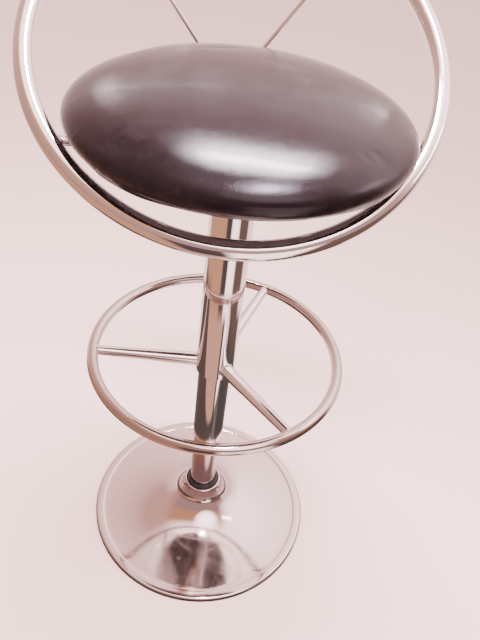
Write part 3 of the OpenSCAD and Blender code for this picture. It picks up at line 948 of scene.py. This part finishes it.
# %% Finishes by slot
slot_finish = {
    "chrome": tube_chrome, "bare_steel": bare_steel, "dark_steel": dark_steel,
    "black_plastic": collar_plastic, "rubber": black_rubber, "vinyl": vinyl, "foam": foam_core,
    "plywood": board_wood, "dust_cloth": black_cloth}
slot_of = {part["node"]: part["material_slot"] for part in frame["record"]["subparts"]}
for name, node in frame["nodes"].items():
    for place in node.material_slots:
        place.material = slot_finish[slot_of[name]]
print(len(slot_of), "nodes have a finish")

# %% [markdown]
# ## Floor
# The stool stands on a plain pale floor. A small square would show its edges from low views, so
# it is a wide disc, big enough to reach the horizon, in a warm matt paint with a very slight
# unevenness.

# %% Floor
FLOOR_R, DISC_SIDES = 70, 96
start_alone()
bpy.ops.mesh.primitive_circle_add(
    vertices=DISC_SIDES, radius=FLOOR_R, fill_type="NGON", location=(0, 0, 0))
floor = bpy.context.object
floor.name = "floor"
paint = Finish("floor paint")
cloud = paint.noise(1.3, 3, 0.5)
floor.data.materials.append(paint.look(
    Base_Color=paint.mix(cloud, (0.90, 0.67, 0.645), (0.93, 0.70, 0.675)), Roughness=0.85))
floor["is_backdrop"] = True
print("floor made")

# %% [markdown]
# ## Cards that only the chrome sees
# A mirror needs something to mirror. In a studio, coloured cards stand round a chrome piece, out
# of view. A coloured floor would do the same, but it would show. So one disc lies just over the
# floor and is hidden from the camera, from shadows and from soft light, so that only
# reflections find it. A dark mat lies round the stool. Past the mat the card has tan, dark and
# bright sectors, in an inner ring and an outer one, which draw the upright stripes of the tubes.

# %% Reflection colours
PALE, TAN, DARK, BROWN = (
    (1.0, 0.66, 0.63), (0.34, 0.155, 0.085), (0.020, 0.013, 0.014), (0.060, 0.030, 0.020))
SHADE, DUSK, BLUSH, RUST = (
    (0.42, 0.225, 0.19), (0.24, 0.14, 0.13), (0.40, 0.19, 0.135), (0.36, 0.17, 0.09))
BRIGHT, GLOW, LAMP = (1.5, 1.1, 1.04), (1.6, 1.15, 1.13), (2.4, 1.9, 1.85)
# Bearings are in degrees round the stool, 0 at the front and + to the right
ROUND_THE_ROOM = (
    (-180, PALE), (-126, PALE), (-112, TAN), (-22, TAN), (-14, DARK), (6, DARK), (12, BRIGHT),
    (42, BRIGHT), (50, BROWN), (94, BROWN), (106, PALE), (180, PALE))
ROUND_THE_STOOL = (
    (-180, PALE), (-126, PALE), (-112, BLUSH), (16, BLUSH), (20, DARK), (26, DARK), (32, BRIGHT),
    (46, BRIGHT), (56, BROWN), (118, BROWN), (130, PALE), (180, PALE))
FRONT = math.atan2(view_place.y, view_place.x)


def bearing_ramp(finish, x, y, *stops):
    """Colours by the bearing round the stool."""
    ahead_x = x * math.cos(FRONT) + y * math.sin(FRONT)
    ahead_y = y * math.cos(FRONT) - x * math.sin(FRONT)
    share = finish.maths("ARCTAN2", ahead_y, ahead_x) / math.tau + 0.5
    return finish.ramp(share, *((0.5 + degrees / 360, colour) for degrees, colour in stops))


print(len(ROUND_THE_ROOM) + len(ROUND_THE_STOOL), "bearings have a colour")

# %% [markdown]
# The card gets a plain black shader that glows in these colours. Its mat is not quite black. It
# lies a little to the left, and its front and back edges run at a slight slant.

# %% Reflection card
CARD_R, CARD_LIFT, CARD_GLOW = 60, 0.4 * MM, 2.2
INNER_RING = 0.60, 0.66
MAT_LEFT, MAT_WIDE = 0.125, (0.55, 0.68)
MAT_SLANT, MAT_BACK, MAT_DEEP = 0.18, 0.04, (0.29, 0.31)
MAT, MAT_SHARE = (0.020, 0.018, 0.015), 0.96


def soft_band(finish, distance, edge):
    """1 near 0, and 0 beyond a soft edge on either side."""
    return finish.ramp(finish.maths("ABSOLUTE", distance), (edge[0], 1.0), (edge[1], 0.0))


start_alone()
bpy.ops.mesh.primitive_circle_add(
    vertices=DISC_SIDES, radius=CARD_R, fill_type="NGON", location=(0, 0, CARD_LIFT))
card = bpy.context.object
card.name = "reflection_card"
paper = Finish("reflection card")
x, y, _ = paper.parts()
beyond = paper.ramp(paper.from_axis(x, y), (INNER_RING[0], 0.0), (INNER_RING[1], 1.0))
sectors = paper.mix(
    beyond, bearing_ramp(paper, x, y, *ROUND_THE_STOOL), bearing_ramp(paper, x, y, *ROUND_THE_ROOM))
on_mat = soft_band(paper, x + MAT_LEFT, MAT_WIDE) * soft_band(
    paper, y + x * MAT_SLANT - MAT_BACK, MAT_DEEP)
card.data.materials.append(paper.look(
    Base_Color=(0, 0, 0), Roughness=1.0, Emission_Strength=CARD_GLOW,
    Emission_Color=paper.mix(on_mat * MAT_SHARE, sectors, MAT)))
card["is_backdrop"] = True
print("card made")

# %% [markdown]
# ## The room that the chrome sees
# The same trick gives the walls and ceiling. A great dome carries them, and only reflections
# find it, so from any side the stool still stands before a plain pale backdrop. Behind the
# stool the walls rise to a pale ceiling. In front they are dusky, turn rust-coloured higher
# up, and hold one soft lamp.

# %% Reflection dome
ROOM_R, ROOM_GLOW = 64, 2.6
LAMP_TURN, LAMP_RISE, LAMP_EDGE = FRONT + math.radians(30), math.radians(55), (0.90, 0.985)
start_alone()
bpy.ops.mesh.primitive_uv_sphere_add(
    segments=64, ring_count=32, radius=ROOM_R, location=(0, 0, 0))
dome = bpy.context.object
dome.name = "reflection_dome"
sky = Finish("reflection dome")
x, y, z = (part / ROOM_R for part in sky.parts())
walls = bearing_ramp(sky, x, y, *ROUND_THE_ROOM)
high = bearing_ramp(
    sky, x, y, (-180, PALE), (-135, SHADE), (-90, SHADE), (90, GLOW), (140, GLOW), (180, PALE))
behind = sky.mix(sky.ramp(z, (0.08, 0.0), (0.45, 1.0)), walls, high)
behind = sky.mix(sky.ramp(z, (0.15, 0.5), (0.5, 0.0)), behind, SHADE)
behind = sky.mix(sky.ramp(z, (0.90, 0.0), (1.0, 1.0)), behind, GLOW)
before = sky.ramp(
    z, (0.0, BROWN), (0.12, DUSK), (0.55, DUSK), (0.68, RUST), (0.87, RUST), (0.965, GLOW))
towards_lamp = (
    x * (math.cos(LAMP_TURN) * math.cos(LAMP_RISE))
    + y * (math.sin(LAMP_TURN) * math.cos(LAMP_RISE)) + z * math.sin(LAMP_RISE))
in_lamp = sky.ramp(towards_lamp, (LAMP_EDGE[0], 0.0), (LAMP_EDGE[1], 1.0))
before = sky.mix(in_lamp, before, LAMP)
in_front = bearing_ramp(
    sky, x, y, (-180, 0.0), (-112, 0.0), (-84, 1.0), (72, 1.0), (104, 0.0), (180, 0.0))
dome.data.materials.append(sky.look(
    Base_Color=(0, 0, 0), Roughness=1.0, Emission_Strength=ROOM_GLOW,
    Emission_Color=sky.mix(in_front, behind, before)))
dome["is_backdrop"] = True
print("dome made")

# %% [markdown]
# Both objects are now hidden from everything but reflections. They are also left out of the
# search for light, because they only have to be seen in the chrome, and the search is slow.

# %% Seen by reflections alone
for only_mirrored in (card, dome):
    only_mirrored.active_material.cycles.emission_sampling = "NONE"
    only_mirrored.visible_camera = only_mirrored.visible_diffuse = False
    only_mirrored.visible_shadow = only_mirrored.visible_transmission = False
print("card and dome hidden from all but reflections")

# %% [markdown]
# ## Studio light
# The backdrop is one plain pale tone, which also fills the shadows. Softboxes add the shape:
# a long one overhead draws the highlight on the cushion's front shoulder, a short one draws
# the spot under it, one at the side gives a glint at the right edge, and a wide one in front,
# which the chrome doesn't mirror, lights the floor.

# %% World and softboxes
world = bpy.data.worlds.new("studio")
bpy.context.scene.world = world
world.use_nodes = True
backdrop = world.node_tree.nodes["Background"].inputs
backdrop["Color"].default_value = (1.0, 0.76, 0.735, 1)
backdrop["Strength"].default_value = 1.9


def softbox(name, place, target, size, power, colour, in_mirrors=True):
    """A rectangular light that hangs at a place and faces a target."""
    lamp = bpy.data.lights.new(name, "AREA")
    lamp.shape, lamp.size, lamp.size_y = "RECTANGLE", size[0], size[1]
    lamp.energy, lamp.color = power, colour
    holder = bpy.data.objects.new(name, lamp)
    bpy.context.scene.collection.objects.link(holder)
    holder.location = place
    holder.rotation_euler = (Vector(place) - Vector(target)).to_track_quat("Z", "Y").to_euler()
    holder.visible_glossy = in_mirrors
    return holder


softbox(
    "softbox_long", (0.105, 0.215, seat_top + 0.66), (0, -0.17, seat_top),
    (0.46, 0.09), 54, (1.0, 0.88, 0.90))
softbox(
    "softbox_short", (0.10, -0.24, seat_top + 0.46), (0.03, -0.2, seat_top),
    (0.15, 0.10), 7, (1.0, 0.88, 0.92))
softbox(
    "softbox_side", (1.05, -0.12, seat_top + 0.46), (0.11, -0.17, seat_top),
    (0.4, 0.12), 1.6, (1.0, 0.88, 0.90))
softbox(
    "softbox_wide", (-1.2, -1.6, 2.7), (0, 0, 0.4),
    (2.4, 2.4), 260, (1.0, 0.80, 0.77), in_mirrors=False)
print("studio lit")

# %% [markdown]
# ## Sizes
# The box round the visual model is printed. The visual model has to stay inside the imported
# model's box.

# %% Print the visual box
low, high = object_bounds()
print("visual box", [round(v, 4) for v in (*low, *high)])
